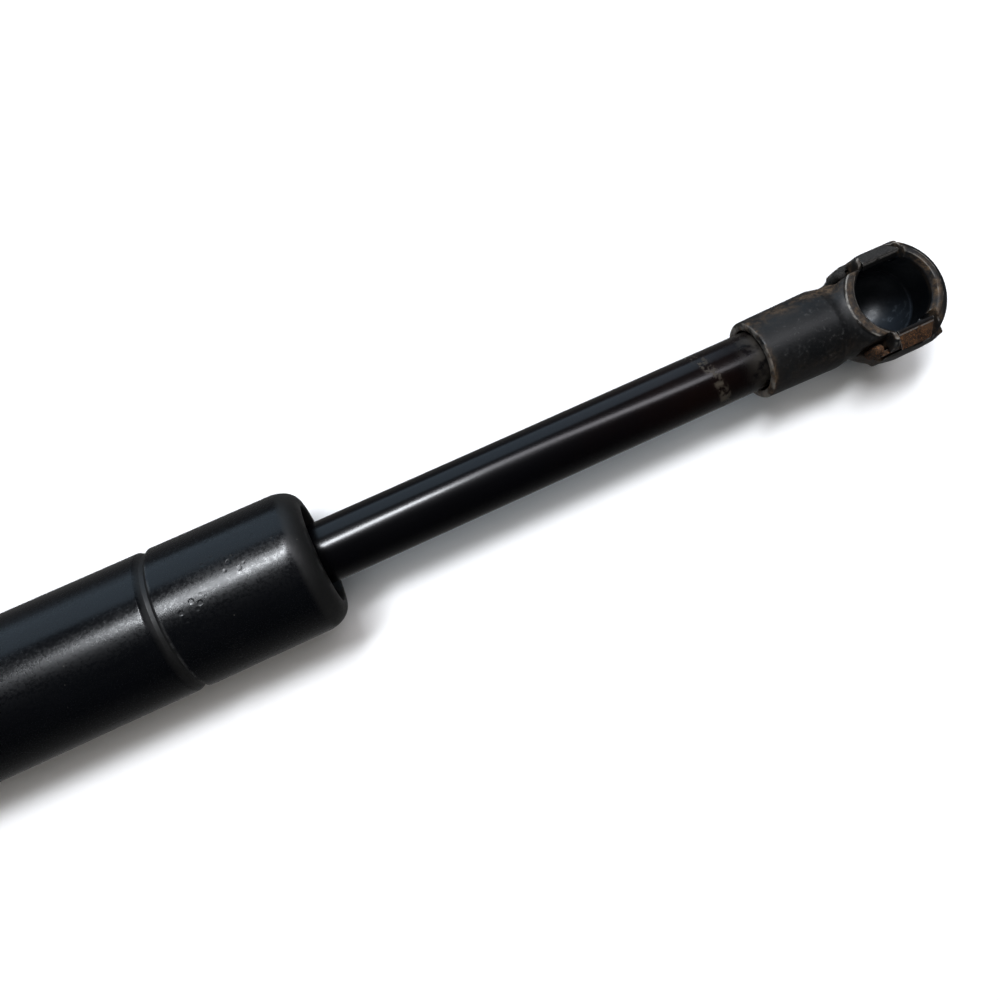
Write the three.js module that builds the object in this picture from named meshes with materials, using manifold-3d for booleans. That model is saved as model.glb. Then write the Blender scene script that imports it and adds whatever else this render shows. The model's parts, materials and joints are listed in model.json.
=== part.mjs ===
// Gas strut stay: a pressure tube with a guided piston rod, and a ball socket with a
// spring safety clip at each end.
//
// Millimetres. +X runs along the strut from the tube's socket to the rod's socket, and
// +Z is the way both sockets open. The origin is the ball centre of the tube's socket.
// The strut is drawn fully extended.

import * as THREE from 'three';
import { mergeVertices } from 'three/addons/utils/BufferGeometryUtils.js';
import Module from 'manifold-3d';

const wasm = await Module();
wasm.setup();

// ---------------------------------------------------------------- driving dimensions

const EXTENDED = 254; // ball centre to ball centre
const ROD_SHOWN = 76.7; // rod between the tube's mouth and the socket's neck
const ROD_R = 5;
const TUBE_R = 11.5;
const TUBE_WALL = 1.25;
const THREAD_R = 4; // M8 thread at both ends
const GAP = 0.3; // between pieces that touch on the real strut
const RUNNING = 0.2; // between the rod and what it slides through

// socket, measured from its ball centre, with the neck towards -X
const NECK_LENGTH = 24.3;
const NECK_MOUTH_R = 6.7;
const NECK_ROOT_R = 7;
const CUP_R = 9.4;
const CUP_FLOOR = 8.8;
const RIM_HEIGHT = 7;
const RIM_R = 7.8;
const MOUTH_R = 6.65;
const SEAT_R = 6.4;

// side windows of the socket, and the boss that frames them
const WINDOW_BACK = -2.8;
const WINDOW_FRONT = 4.8;
const WINDOW_FLOOR = 3.7;
const WINDOW_INSIDE = 5;
const BOSS_BACK = -3.9;
const BOSS_FRONT = 5.8;
const BOSS_CORNER = 1;
const BOSS_BOTTOM = -3.5;
const BOSS_TOP = 4.2;
const SIDE = 9.25; // half width of the cup and boss over their flat sides
const SIDE_TOP = 1.4; // above this the flat sides lean inwards
const SIDE_LEAN = 0.18;

// safety clip
const CLIP_TRAVEL = 0.6;
const BAND_MIDDLE = 7.8; // half the distance between the middles of the two legs
const BAND_THICKNESS = 0.75;
const BAND_BOTTOM = 1;
const BAND_TOP = 3.4;
const BEND_CENTRE = 1.2; // where the straight legs turn into the bend
const CURL_R = 0.9;
const CURL_CENTRE = -5.6;
const CURL_SIDE = 7.35;
const CURL_TOP = 4.9;

// tube
const TUBE_BACK = NECK_LENGTH + 1.7;
const TUBE_FRONT = EXTENDED - NECK_LENGTH - ROD_SHOWN;
const BORE_R = TUBE_R - TUBE_WALL;
const PACK_R = BORE_R - 0.35; // pieces that sit in the tube's bore
const MOUTH_LIP_R = 8.15;
const CURL_LENGTH = 4.1; // length of the rounded tube end
const CURL_CREST_R = 8.5; // radius of the foremost edge of the rounded tube end
const GROOVE = [23.3, 25.3]; // front and back of the rolled groove, from the tube's mouth
const GROOVE_SINK = 0.55;

// distances from the tube's mouth to the front and back face of each packed piece
const FRONT_WASHER = [4.9, 6.3];
const WIPER = [6.6, 9.4];
const GUIDE = [9.7, 17.5];
const LIP_SEAL = [17.8, 21.5];
const SEAL_WASHER = [21.8, 23];
const SHOULDER_DEPTH = 30.1; // where the rod narrows to its spigot
const PISTON_WASHER = [30.4, 31.9];
const PISTON = [32.2, 40.2];
const VALVE_DISC = [40.5, 41.3];
const PISTON_NUT = [41.6, 45];
const SPIGOT_END = 45.6;
const SPIGOT_R = 3;
const SPIGOT_HOLE_R = SPIGOT_R + GAP;
const RING_SLOT = [34.6, 37.8];
const RING_SLOT_R = 8.2;

// end plug, measured from the tube's back edge
const PLUG = [4.9, 9.5];
const STUD_HEAD = [9.8, 11.2];
const STUD_HEAD_R = 6;
const THREAD_HOLE_R = THREAD_R + GAP;
const NECK_RECESS_R = ROD_R + GAP; // the rod's full diameter goes this deep into the neck
const NECK_RECESS = 3;
const THREAD_HOLE_END = -9.8; // blind end of the neck's threaded hole
const THREAD_END = THREAD_HOLE_END - 0.7;

// facets round a full turn
const FINE = 32;
const MEDIUM = 24;
const COARSE = 20;
const CURL_FACETS = 16;

// ---------------------------------------------------------------- materials

const finish = (color, roughness, metalness) =>
  new THREE.MeshStandardMaterial({ color, roughness, metalness });

const blackPaint = () => finish(0x15181c, 0.35, 0.3);
const blackSteel = () => finish(0x0c0d10, 0.2, 0.6);
const socketPlastic = () => finish(0x2a2e31, 0.6, 0);
const rustySteel = () => finish(0x6b4a30, 0.8, 0.4);
const zincSteel = () => finish(0x9a9c9e, 0.4, 0.9);
const guideAlloy = () => finish(0x8d8f92, 0.5, 0.8);
const bushLiner = () => finish(0x7a6a45, 0.5, 0.2);
const blackRubber = () => finish(0x111111, 0.85, 0);
const ringPolymer = () => finish(0x3c3a36, 0.5, 0);

// ---------------------------------------------------------------- solids

// A closed solid from a geometry, with shared corners merged and no empty faces.
function solidOf(geometry) {
  geometry.deleteAttribute('normal');
  geometry.deleteAttribute('uv');
  const merged = mergeVertices(geometry, 1e-4);
  const index = merged.index.array;
  const kept = [];
  for (let i = 0; i < index.length; i += 3) {
    const [a, b, c] = index.slice(i, i + 3);
    if (a !== b && b !== c && c !== a) kept.push(a, b, c);
  }
  if (signedVolume(merged.attributes.position, kept) < 0) kept.reverse();
  const mesh = new wasm.Mesh({
    numProp: 3,
    vertProperties: new Float32Array(merged.attributes.position.array),
    triVerts: new Uint32Array(kept),
  });
  return new wasm.Manifold(mesh);
}

function signedVolume(position, index) {
  const [a, b, c] = [new THREE.Vector3(), new THREE.Vector3(), new THREE.Vector3()];
  let volume = 0;
  for (let i = 0; i < index.length; i += 3) {
    a.fromBufferAttribute(position, index[i]);
    b.fromBufferAttribute(position, index[i + 1]);
    c.fromBufferAttribute(position, index[i + 2]);
    volume += a.dot(b.cross(c));
  }
  return volume;
}

function node(name, solid, material) {
  const mesh = solid.getMesh();
  const geometry = new THREE.BufferGeometry();
  geometry.setAttribute('position', new THREE.BufferAttribute(new Float32Array(mesh.vertProperties), 3));
  geometry.setIndex(new THREE.BufferAttribute(new Uint32Array(mesh.triVerts), 1));
  geometry.computeVertexNormals();
  const part = new THREE.Mesh(geometry, material);
  part.name = name;
  return part;
}

// Profile points along an elliptical arc: centre, half-axes, and two angles in degrees.
function arc(centreA, centreB, halfA, halfB, from, to, steps) {
  return Array.from({ length: steps + 1 }, (_, i) => {
    const angle = THREE.MathUtils.degToRad(from + ((to - from) * i) / steps);
    return [centreA + halfA * Math.cos(angle), centreB + halfB * Math.sin(angle)];
  });
}

// A profile of [x, radius] points turned about the strut's axis.
function turnedAboutX(profile, facets) {
  const points = profile.map(([x, radius]) => new THREE.Vector2(radius, x));
  return solidOf(new THREE.LatheGeometry(points, facets).rotateZ(-Math.PI / 2));
}

// A profile of [radius, z] points turned about the socket's upright axis.
function turnedAboutZ(profile, facets) {
  const points = profile.map(([radius, z]) => new THREE.Vector2(radius, z));
  return solidOf(new THREE.LatheGeometry(points, facets).rotateX(Math.PI / 2));
}

// A ring with a square section, between two places along X.
function ring(from, to, innerR, outerR, facets) {
  const corners = [[from, innerR], [from, outerR], [to, outerR], [to, innerR], [from, innerR]];
  return turnedAboutX(corners, facets);
}

function block(x, y, z) {
  const geometry = new THREE.BoxGeometry(x[1] - x[0], y[1] - y[0], z[1] - z[0]);
  return solidOf(geometry.translate((x[0] + x[1]) / 2, (y[0] + y[1]) / 2, (z[0] + z[1]) / 2));
}

// An outline of [x, y] points raised from one height to another.
function raised(outline, bottom, top) {
  const shape = new THREE.Shape(outline.map(([x, y]) => new THREE.Vector2(x, y)));
  const geometry = new THREE.ExtrudeGeometry(shape, { depth: top - bottom, bevelEnabled: false });
  return solidOf(geometry.translate(0, 0, bottom));
}

// An outline of [y, z] points drawn out along X, between two places.
function drawnAlongX(outline, from, to) {
  const shape = new THREE.Shape(outline.map(([y, z]) => new THREE.Vector2(y, z)));
  const geometry = new THREE.ExtrudeGeometry(shape, { depth: to - from, bevelEnabled: false });
  geometry.rotateX(Math.PI / 2);
  geometry.rotateZ(Math.PI / 2);
  return solidOf(geometry.translate(from, 0, 0));
}

const mirrored = (solid) => solid.mirror([0, 1, 0]);

// The faces of a packed piece as X places, from depths below the tube's mouth.
const packed = ([front, back]) => [TUBE_FRONT - back, TUBE_FRONT - front];

// ---------------------------------------------------------------- ball sockets

// Cup with a ball seat, a chamfered mouth and a long round neck, threaded inside.
function socketSolid() {
  const floorAngle = THREE.MathUtils.radToDeg(Math.asin(CUP_FLOOR / CUP_R));
  const shoulderBottom = 4.6;
  const cup = turnedAboutZ([
    [0, -CUP_FLOOR],
    ...arc(0, 0, CUP_R, CUP_R, -floorAngle, 0, 6),
    ...arc(RIM_R, shoulderBottom, CUP_R - RIM_R, RIM_HEIGHT - shoulderBottom, 0, 90, 5),
    [0, RIM_HEIGHT],
  ], MEDIUM);

  const neckEdge = 0.5;
  const neckRoot = -11;
  const neckEnd = -6;
  const rootNarrow = 6.4;
  const neck = turnedAboutX([
    [-NECK_LENGTH, 0],
    [-NECK_LENGTH, NECK_MOUTH_R - neckEdge],
    [-NECK_LENGTH + neckEdge, NECK_MOUTH_R],
    [neckRoot, NECK_ROOT_R],
    [neckRoot + 2.4, rootNarrow],
    [neckEnd, rootNarrow],
    [neckEnd, 0],
  ], MEDIUM);

  const cornerX = BOSS_FRONT - BOSS_CORNER;
  const cornerY = SIDE - BOSS_CORNER;
  const boss = raised([
    [BOSS_BACK, -SIDE],
    ...arc(cornerX, -cornerY, BOSS_CORNER, BOSS_CORNER, -90, 0, 3),
    ...arc(cornerX, cornerY, BOSS_CORNER, BOSS_CORNER, 0, 90, 3),
    [BOSS_BACK, SIDE],
  ], BOSS_BOTTOM, BOSS_TOP);

  const above = RIM_HEIGHT + 1;
  const chamferStart = 6.1;
  const chamferSlope = 0.6;
  const chamferR = MOUTH_R + chamferSlope * (above - chamferStart);
  const seat = turnedAboutZ([
    [0, -SEAT_R],
    ...arc(0, 0, SEAT_R, SEAT_R, -80, 0, 6),
    [MOUTH_R, 0],
    [MOUTH_R, chamferStart],
    [chamferR, above],
    [0, above],
  ], MEDIUM);

  const neckHole = turnedAboutX([
    [-NECK_LENGTH - 1, 0],
    [-NECK_LENGTH - 1, NECK_RECESS_R],
    [-NECK_LENGTH + NECK_RECESS, NECK_RECESS_R],
    [-NECK_LENGTH + NECK_RECESS, THREAD_HOLE_R],
    [THREAD_HOLE_END, THREAD_HOLE_R],
    [THREAD_HOLE_END, 0],
  ], COARSE);

  let solid = cup.add(neck).add(boss).intersect(betweenSides()).subtract(seat).subtract(neckHole).subtract(clipGroove());
  const window = block([WINDOW_BACK, WINDOW_FRONT], [WINDOW_INSIDE, CUP_R + 1], [WINDOW_FLOOR, above]);
  const pocketBack = CURL_CENTRE - CURL_R - 0.8;
  const pocketInside = CURL_SIDE - CURL_R - GAP;
  const pocketFloor = BAND_BOTTOM - GAP;
  const pocket = block([pocketBack, BOSS_BACK], [pocketInside, CUP_R + 1], [pocketFloor, above]);
  for (const cut of [window, pocket]) {
    solid = solid.subtract(cut).subtract(mirrored(cut));
  }
  return solid;
}

// Everything between the socket's two flat sides.
function betweenSides() {
  const bottom = -CUP_R - 1;
  const top = RIM_HEIGHT + 1;
  const narrow = SIDE - SIDE_LEAN * (top - SIDE_TOP);
  return drawnAlongX([
    [-SIDE, bottom],
    [SIDE, bottom],
    [SIDE, SIDE_TOP],
    [narrow, top],
    [-narrow, top],
    [-SIDE, SIDE_TOP],
  ], -NECK_LENGTH - 1, CUP_R + 1);
}

// The space that the clip's band slides in: two slots, open round the far end of the cup.
function clipGroove() {
  const inside = BAND_MIDDLE - BAND_THICKNESS / 2 - GAP;
  const outside = BAND_MIDDLE + BAND_THICKNESS / 2 + GAP;
  const back = BOSS_BACK - 1;
  const openFrom = BOSS_FRONT - 0.8;
  const clear = CUP_R + 2;
  return raised([
    [back, inside],
    ...arc(0, 0, inside, inside, 90, -90, 12),
    [back, -inside],
    [back, -outside],
    [openFrom, -outside],
    [openFrom + 1, -clear],
    [clear, -clear],
    [clear, clear],
    [openFrom + 1, clear],
    [openFrom, outside],
    [back, outside],
  ], BAND_BOTTOM - GAP, BAND_TOP + GAP);
}

// U-shaped spring steel clip: a band round the cup, curled tips, and a folded wing in each
// side window whose inner edge closes over the ball.
function clipSolid() {
  const inner = BAND_MIDDLE - BAND_THICKNESS / 2;
  const outer = BAND_MIDDLE + BAND_THICKNESS / 2;
  let clip = raised([
    [CURL_CENTRE, inner],
    ...arc(BEND_CENTRE, 0, inner, inner, 90, -90, 14),
    [CURL_CENTRE, -inner],
    [CURL_CENTRE, -outer],
    ...arc(BEND_CENTRE, 0, outer, outer, -90, 90, 14),
    [CURL_CENTRE, outer],
  ], BAND_BOTTOM, BAND_TOP);

  const wingBack = WINDOW_BACK + GAP;
  const wingFront = WINDOW_FRONT - CLIP_TRAVEL - GAP;
  const wing = drawnAlongX([
    [5.35, 6.25],
    [6.2, 6.85],
    [6.6, 6.75],
    [8.6, 4.75],
    [8.2, 4.25],
    [6.3, 6.15],
    [5.55, 5.7],
  ], wingBack, wingFront);
  const web = block([wingBack + 0.1, wingFront - 0.1], [inner + 0.05, outer - 0.05], [BAND_TOP - 0.2, 4.75]);
  const curl = turnedAboutZ([
    [0, BAND_BOTTOM - 0.05],
    [CURL_R, BAND_BOTTOM - 0.05],
    [CURL_R, CURL_TOP],
    [0, CURL_TOP],
  ], CURL_FACETS).translate([CURL_CENTRE, CURL_SIDE, 0]);
  for (const piece of [wing, web, curl]) {
    clip = clip.add(piece).add(mirrored(piece));
  }
  return clip;
}

// Socket and clip in one group, whose origin is the ball centre.
function socketAssembly(prefix) {
  const group = new THREE.Group();
  group.add(node(`${prefix}_socket`, socketSolid(), socketPlastic()));
  group.add(node(`${prefix}_socket_clip`, clipSolid(), rustySteel()));
  return group;
}

// ---------------------------------------------------------------- pressure tube

// One end of the tube wall, rolled inwards. Depths are measured in from the end's edge.
function rolledEnd() {
  const noseR = CURL_CREST_R - MOUTH_LIP_R;
  const outside = arc(CURL_CREST_R, CURL_LENGTH, TUBE_R - CURL_CREST_R, CURL_LENGTH, 0, -90, 8);
  const nose = arc(CURL_CREST_R, noseR, noseR, noseR, -90, -180, 2);
  const insideTop = 4.6;
  const inside = arc(MOUTH_LIP_R, insideTop, BORE_R - MOUTH_LIP_R, insideTop - 2, -75, 0, 4);
  return [...outside, ...nose.slice(1), ...inside].map(([radius, depth]) => [depth, radius]);
}

function pressureTube() {
  const length = TUBE_FRONT - TUBE_BACK;
  const [grooveFront, grooveBack] = GROOVE;
  const wallLength = 0.45; // along the tube, from the surface to the groove's bottom
  const groove = [
    [grooveFront, 0],
    [grooveFront + wallLength, GROOVE_SINK],
    [grooveBack - 2 * wallLength, GROOVE_SINK],
    [grooveBack, 0],
  ];
  const outerGroove = groove.map(([depth, sink]) => [depth, TUBE_R - sink]);
  const innerGroove = groove.map(([depth, sink]) => [depth, BORE_R - sink]).reverse();
  const front = rolledEnd();
  const back = rolledEnd().map(([depth, radius]) => [length - depth, radius]);
  const profile = [...outerGroove, ...back, ...innerGroove, ...front.reverse()];
  profile.push(profile[0]);
  return turnedAboutX(profile.map(([depth, radius]) => [TUBE_FRONT - depth, radius]), FINE);
}

function endPlug() {
  const [outside, inside] = PLUG.map((depth) => TUBE_BACK + depth);
  const slotBottom = 8.2;
  const slot = [outside + 1.3, outside + 3.3];
  return turnedAboutX([
    [outside, THREAD_HOLE_R],
    [outside, PACK_R],
    [slot[0], PACK_R],
    [slot[0], slotBottom],
    [slot[1], slotBottom],
    [slot[1], PACK_R],
    [inside, PACK_R],
    [inside, THREAD_HOLE_R],
    [outside, THREAD_HOLE_R],
  ], COARSE);
}

function oRing(middle) {
  const sectionR = 0.65;
  const profile = arc(middle, PACK_R - sectionR, sectionR, sectionR, 0, 360, 8);
  return turnedAboutX(profile, COARSE);
}

function endStud() {
  const [headStart, headEnd] = STUD_HEAD.map((depth) => TUBE_BACK + depth);
  return turnedAboutX([
    [-THREAD_END, 0],
    [-THREAD_END, THREAD_R - 0.6],
    [-THREAD_END + 0.6, THREAD_R],
    [headStart, THREAD_R],
    [headStart, STUD_HEAD_R],
    [headEnd, STUD_HEAD_R],
    [headEnd, 0],
  ], COARSE);
}

// ---------------------------------------------------------------- guide pack

function rodGuide() {
  const [back, front] = packed(GUIDE);
  const liningR = 6.2;
  const slotBottom = 8.2;
  const slot = [guideSlotMiddle() - 1, guideSlotMiddle() + 1];
  return turnedAboutX([
    [back, liningR],
    [back, PACK_R],
    [slot[0], PACK_R],
    [slot[0], slotBottom],
    [slot[1], slotBottom],
    [slot[1], PACK_R],
    [front, PACK_R],
    [front, liningR],
    [back, liningR],
  ], COARSE);
}

const guideSlotMiddle = () => TUBE_FRONT - (GUIDE[0] + GUIDE[1]) / 2;

function guideBush() {
  const [back, front] = packed(GUIDE);
  return ring(back + 0.2, front - 0.2, ROD_R + RUNNING, 5.9, COARSE);
}

// Rubber seal whose bore narrows to a lip at one end.
function lipSeal() {
  const [back, front] = packed(LIP_SEAL);
  const relief = ROD_R + 0.9;
  return turnedAboutX([
    [back, relief],
    [back, PACK_R],
    [front, PACK_R],
    [front, relief],
    [front - 1.4, ROD_R + RUNNING],
    [back + 1.2, ROD_R + RUNNING],
    [back, relief],
  ], COARSE);
}

function wiperSeal() {
  const [back, front] = packed(WIPER);
  return turnedAboutX([
    [back, ROD_R + 0.8],
    [back, PACK_R],
    [front, PACK_R],
    [front, ROD_R + 1.6],
    [front - 0.6, ROD_R + RUNNING],
    [front - 1.4, ROD_R + RUNNING],
    [back, ROD_R + 0.8],
  ], COARSE);
}

// ---------------------------------------------------------------- rod and piston

function pistonRod() {
  const start = TUBE_FRONT - SPIGOT_END;
  const shoulder = TUBE_FRONT - SHOULDER_DEPTH;
  const recessBottom = EXTENDED - NECK_LENGTH + NECK_RECESS - GAP;
  const threadEnd = EXTENDED + THREAD_END;
  const edge = 0.5;
  return turnedAboutX([
    [start, 0],
    [start, SPIGOT_R],
    [shoulder, SPIGOT_R],
    [shoulder, ROD_R - edge],
    [shoulder + edge, ROD_R],
    [recessBottom - edge, ROD_R],
    [recessBottom, ROD_R - edge],
    [recessBottom, THREAD_R],
    [threadEnd - edge, THREAD_R],
    [threadEnd, THREAD_R - edge],
    [threadEnd, 0],
  ], MEDIUM);
}

// Piston with a slot for its ring and two ports through it, beside the rod's spigot.
function pistonSolid() {
  const [back, front] = packed(PISTON);
  const [slotBack, slotFront] = packed(RING_SLOT);
  const body = turnedAboutX([
    [back, SPIGOT_HOLE_R],
    [back, PACK_R],
    [slotBack, PACK_R],
    [slotBack, RING_SLOT_R],
    [slotFront, RING_SLOT_R],
    [slotFront, PACK_R],
    [front, PACK_R],
    [front, SPIGOT_HOLE_R],
    [back, SPIGOT_HOLE_R],
  ], COARSE);
  const portR = 0.8;
  const portFromAxis = 5.8;
  const port = turnedAboutX([[back - 1, 0], [back - 1, portR], [front + 1, portR], [front + 1, 0]], 8)
    .translate([0, portFromAxis, 0]);
  return body.subtract(port).subtract(mirrored(port));
}

function pistonRing() {
  const [slotBack, slotFront] = packed(RING_SLOT);
  return ring(slotBack + GAP, slotFront - GAP, RING_SLOT_R + 0.4, BORE_R - 0.25, COARSE);
}

// A plain disc on the rod's spigot.
function spigotDisc(depths, outerR) {
  const [back, front] = packed(depths);
  return ring(back, front, SPIGOT_HOLE_R, outerR, COARSE);
}

// ---------------------------------------------------------------- assembly

const strut = new THREE.Group();

strut.add(node('pressure_tube', pressureTube(), blackPaint()));
strut.add(node('end_plug', endPlug(), zincSteel()));
strut.add(node('end_plug_o_ring', oRing(TUBE_BACK + PLUG[0] + 2.3), blackRubber()));
strut.add(node('end_stud', endStud(), zincSteel()));

const washer = packed(FRONT_WASHER);
strut.add(node('front_washer', ring(...washer, ROD_R + 0.5, PACK_R, COARSE), rustySteel()));
strut.add(node('wiper_seal', wiperSeal(), blackRubber()));
strut.add(node('rod_guide', rodGuide(), guideAlloy()));
strut.add(node('guide_bush', guideBush(), bushLiner()));
strut.add(node('guide_o_ring', oRing(guideSlotMiddle()), blackRubber()));
strut.add(node('lip_seal', lipSeal(), blackRubber()));
const backing = packed(SEAL_WASHER);
strut.add(node('seal_washer', ring(...backing, ROD_R + 0.5, PACK_R, COARSE), zincSteel()));

strut.add(node('piston_rod', pistonRod(), blackSteel()));
strut.add(node('piston_washer', spigotDisc(PISTON_WASHER, 9.7), zincSteel()));
strut.add(node('piston', pistonSolid(), guideAlloy()));
strut.add(node('piston_ring', pistonRing(), ringPolymer()));
strut.add(node('valve_disc', spigotDisc(VALVE_DISC, 9), zincSteel()));
strut.add(node('piston_nut', spigotDisc(PISTON_NUT, 5.4), zincSteel()));

const rodEnd = socketAssembly('rod');
rodEnd.position.x = EXTENDED;
strut.add(rodEnd);

// The tube's socket is the same one turned round, so that it opens the same way.
const tubeEnd = socketAssembly('tube');
tubeEnd.rotation.z = Math.PI;
strut.add(tubeEnd);

export default strut;
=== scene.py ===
import json
import math

import bpy
import numpy as np
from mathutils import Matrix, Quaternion, Vector


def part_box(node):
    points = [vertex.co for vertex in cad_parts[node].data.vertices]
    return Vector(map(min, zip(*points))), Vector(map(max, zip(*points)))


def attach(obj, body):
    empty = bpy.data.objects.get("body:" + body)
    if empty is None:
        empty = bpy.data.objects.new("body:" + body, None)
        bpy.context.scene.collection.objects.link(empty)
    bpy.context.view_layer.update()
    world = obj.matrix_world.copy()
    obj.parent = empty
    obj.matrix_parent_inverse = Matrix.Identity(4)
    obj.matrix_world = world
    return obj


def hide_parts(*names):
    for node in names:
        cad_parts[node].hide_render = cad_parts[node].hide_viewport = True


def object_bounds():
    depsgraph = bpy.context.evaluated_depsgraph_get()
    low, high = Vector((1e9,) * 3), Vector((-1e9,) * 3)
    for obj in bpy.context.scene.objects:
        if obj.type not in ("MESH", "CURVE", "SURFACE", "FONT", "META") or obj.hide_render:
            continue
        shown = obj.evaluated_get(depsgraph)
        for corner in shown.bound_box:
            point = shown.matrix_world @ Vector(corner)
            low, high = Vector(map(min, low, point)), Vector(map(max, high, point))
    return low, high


# Gas strut stay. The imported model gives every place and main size. Pieces are modelled in
# millimetres and scaled to metres when their mesh is made. +X runs from the tube's socket
# to the rod's socket, and +Z is the way both sockets open.

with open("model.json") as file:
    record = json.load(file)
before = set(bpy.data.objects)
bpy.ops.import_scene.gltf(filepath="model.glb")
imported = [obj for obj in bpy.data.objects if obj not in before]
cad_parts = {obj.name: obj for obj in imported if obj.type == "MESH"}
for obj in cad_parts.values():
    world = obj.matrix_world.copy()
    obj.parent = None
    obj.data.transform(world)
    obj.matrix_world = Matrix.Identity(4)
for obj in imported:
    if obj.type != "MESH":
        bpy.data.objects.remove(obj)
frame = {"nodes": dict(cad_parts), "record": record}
cad_low, cad_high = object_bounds()

MM = 0.001
MOUNTS = {mount["name"]: Vector(mount["pos_m"]) / MM for mount in frame["record"]["mounts"]}


def box_mm(node):
    """Lowest and highest corner of a CAD node, in millimetres."""
    low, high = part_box(node)
    return low / MM, high / MM


# ------------------------------------------------------------------ camera

# From the middle of the tube's mouth, in millimetres.
CAMERA_PLACE = Vector((14.3, -15.6, 132.1))
CAMERA_TARGET = Vector((28.8, -3.9, 0))
CAMERA_ROLL = math.radians(26.5)
SENSOR_WIDTH = 36
LENS = 29.94


def add_camera():
    """Close above the rod, a little to its near side, looking down and along it to its socket."""
    mouth = Vector((box_mm("pressure_tube")[1].x, 0, 0))
    place = mouth + CAMERA_PLACE
    target = mouth + CAMERA_TARGET
    data = bpy.data.cameras.new("camera")
    data.sensor_width = SENSOR_WIDTH
    data.lens = LENS
    data.clip_start = 0.01
    data.clip_end = 20
    camera = bpy.data.objects.new("camera", data)
    bpy.context.scene.collection.objects.link(camera)
    camera.location = place * MM
    camera.rotation_mode = "QUATERNION"
    straight = (target - place).to_track_quat("-Z", "Y")
    camera.rotation_quaternion = straight @ Quaternion((0, 0, 1), CAMERA_ROLL)
    bpy.context.scene.camera = camera


# ------------------------------------------------------------------ material nodes


def opaque(colour):
    """A plain colour with its alpha; a node's output is passed on as it is."""
    return (*colour, 1.0) if isinstance(colour, tuple) else colour


class Paint:
    """A material's node tree, with short calls for the nodes that the finishes use."""

    def __init__(self, name):
        self.material = bpy.data.materials.new(name)
        self.material.use_nodes = True
        self.tree = self.material.node_tree
        self.shader = self.tree.nodes["Principled BSDF"]
        self.place = self.tree.nodes.new("ShaderNodeTexCoord").outputs["Object"]

    def link(self, source, target):
        if isinstance(source, (int, float, tuple)):
            target.default_value = source
        else:
            self.tree.links.new(source, target)

    def stretched(self, x=1.0, y=1.0, z=1.0):
        """The object's own coordinates, scaled along each axis."""
        node = self.tree.nodes.new("ShaderNodeMapping")
        node.inputs["Scale"].default_value = (x, y, z)
        self.link(self.place, node.inputs["Vector"])
        return node.outputs["Vector"]

    def noise(self, scale, detail=4.0, roughness=0.55, vector=None):
        """Fractal noise; scale is in features per metre."""
        node = self.tree.nodes.new("ShaderNodeTexNoise")
        node.inputs["Scale"].default_value = scale
        node.inputs["Detail"].default_value = detail
        node.inputs["Roughness"].default_value = roughness
        self.link(vector or self.place, node.inputs["Vector"])
        return node.outputs["Fac"]

    def cells(self, scale, vector=None):
        """Distance to the nearest of many scattered points."""
        node = self.tree.nodes.new("ShaderNodeTexVoronoi")
        node.inputs["Scale"].default_value = scale
        self.link(vector or self.place, node.inputs["Vector"])
        return node.outputs["Distance"]

    def attribute(self, name):
        node = self.tree.nodes.new("ShaderNodeAttribute")
        node.attribute_name = name
        return node.outputs["Fac"]

    def axis(self, letter):
        """One of the object's own coordinates, in metres."""
        node = self.tree.nodes.new("ShaderNodeSeparateXYZ")
        self.link(self.place, node.inputs[0])
        return node.outputs[letter]

    def span(self, value, low, high, start=0.0, end=1.0):
        """value mapped from low..high to start..end, smoothly, and held at both ends."""
        node = self.tree.nodes.new("ShaderNodeMapRange")
        node.interpolation_type = "SMOOTHSTEP"
        self.link(value, node.inputs["Value"])
        node.inputs["From Min"].default_value = low
        node.inputs["From Max"].default_value = high
        node.inputs["To Min"].default_value = start
        node.inputs["To Max"].default_value = end
        return node.outputs["Result"]

    def calculate(self, operation, first, second):
        node = self.tree.nodes.new("ShaderNodeMath")
        node.operation = operation
        self.link(first, node.inputs[0])
        self.link(second, node.inputs[1])
        return node.outputs["Value"]

    def times(self, first, second):
        return self.calculate("MULTIPLY", first, second)

    def plus(self, first, second):
        return self.calculate("ADD", first, second)

    def minus(self, first, second):
        return self.calculate("SUBTRACT", first, second)

    def larger(self, first, second):
        return self.calculate("MAXIMUM", first, second)

    def mix(self, factor, first, second):
        """The first colour where factor is 0, and the second where it is 1."""
        node = self.tree.nodes.new("ShaderNodeMix")
        node.data_type = "RGBA"
        self.link(factor, node.inputs["Factor"])
        colours = [i for i in node.inputs if i.type == "RGBA"]
        for socket, colour in zip(colours, (first, second)):
            self.link(opaque(colour), socket)
        return next(o for o in node.outputs if o.type == "RGBA")

    def bump(self, height, depth_mm, strength):
        node = self.tree.nodes.new("ShaderNodeBump")
        node.inputs["Distance"].default_value = depth_mm * MM
        node.inputs["Strength"].default_value = strength
        self.link(height, node.inputs["Height"])
        self.link(node.outputs["Normal"], self.shader.inputs["Normal"])

    def finish(self, colour, roughness, metallic=0.0):
        self.link(opaque(colour), self.shader.inputs["Base Color"])
        self.link(roughness, self.shader.inputs["Roughness"])
        self.link(metallic, self.shader.inputs["Metallic"])
        return self.material


# ------------------------------------------------------------------ finishes

RUST_DARK = (0.012, 0.0062, 0.0035)
RUST_BROWN = (0.072, 0.038, 0.018)
RUST_ORANGE = (0.19, 0.085, 0.032)
DUST = (0.11, 0.095, 0.075)
BARE = (0.42, 0.41, 0.39)


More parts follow.
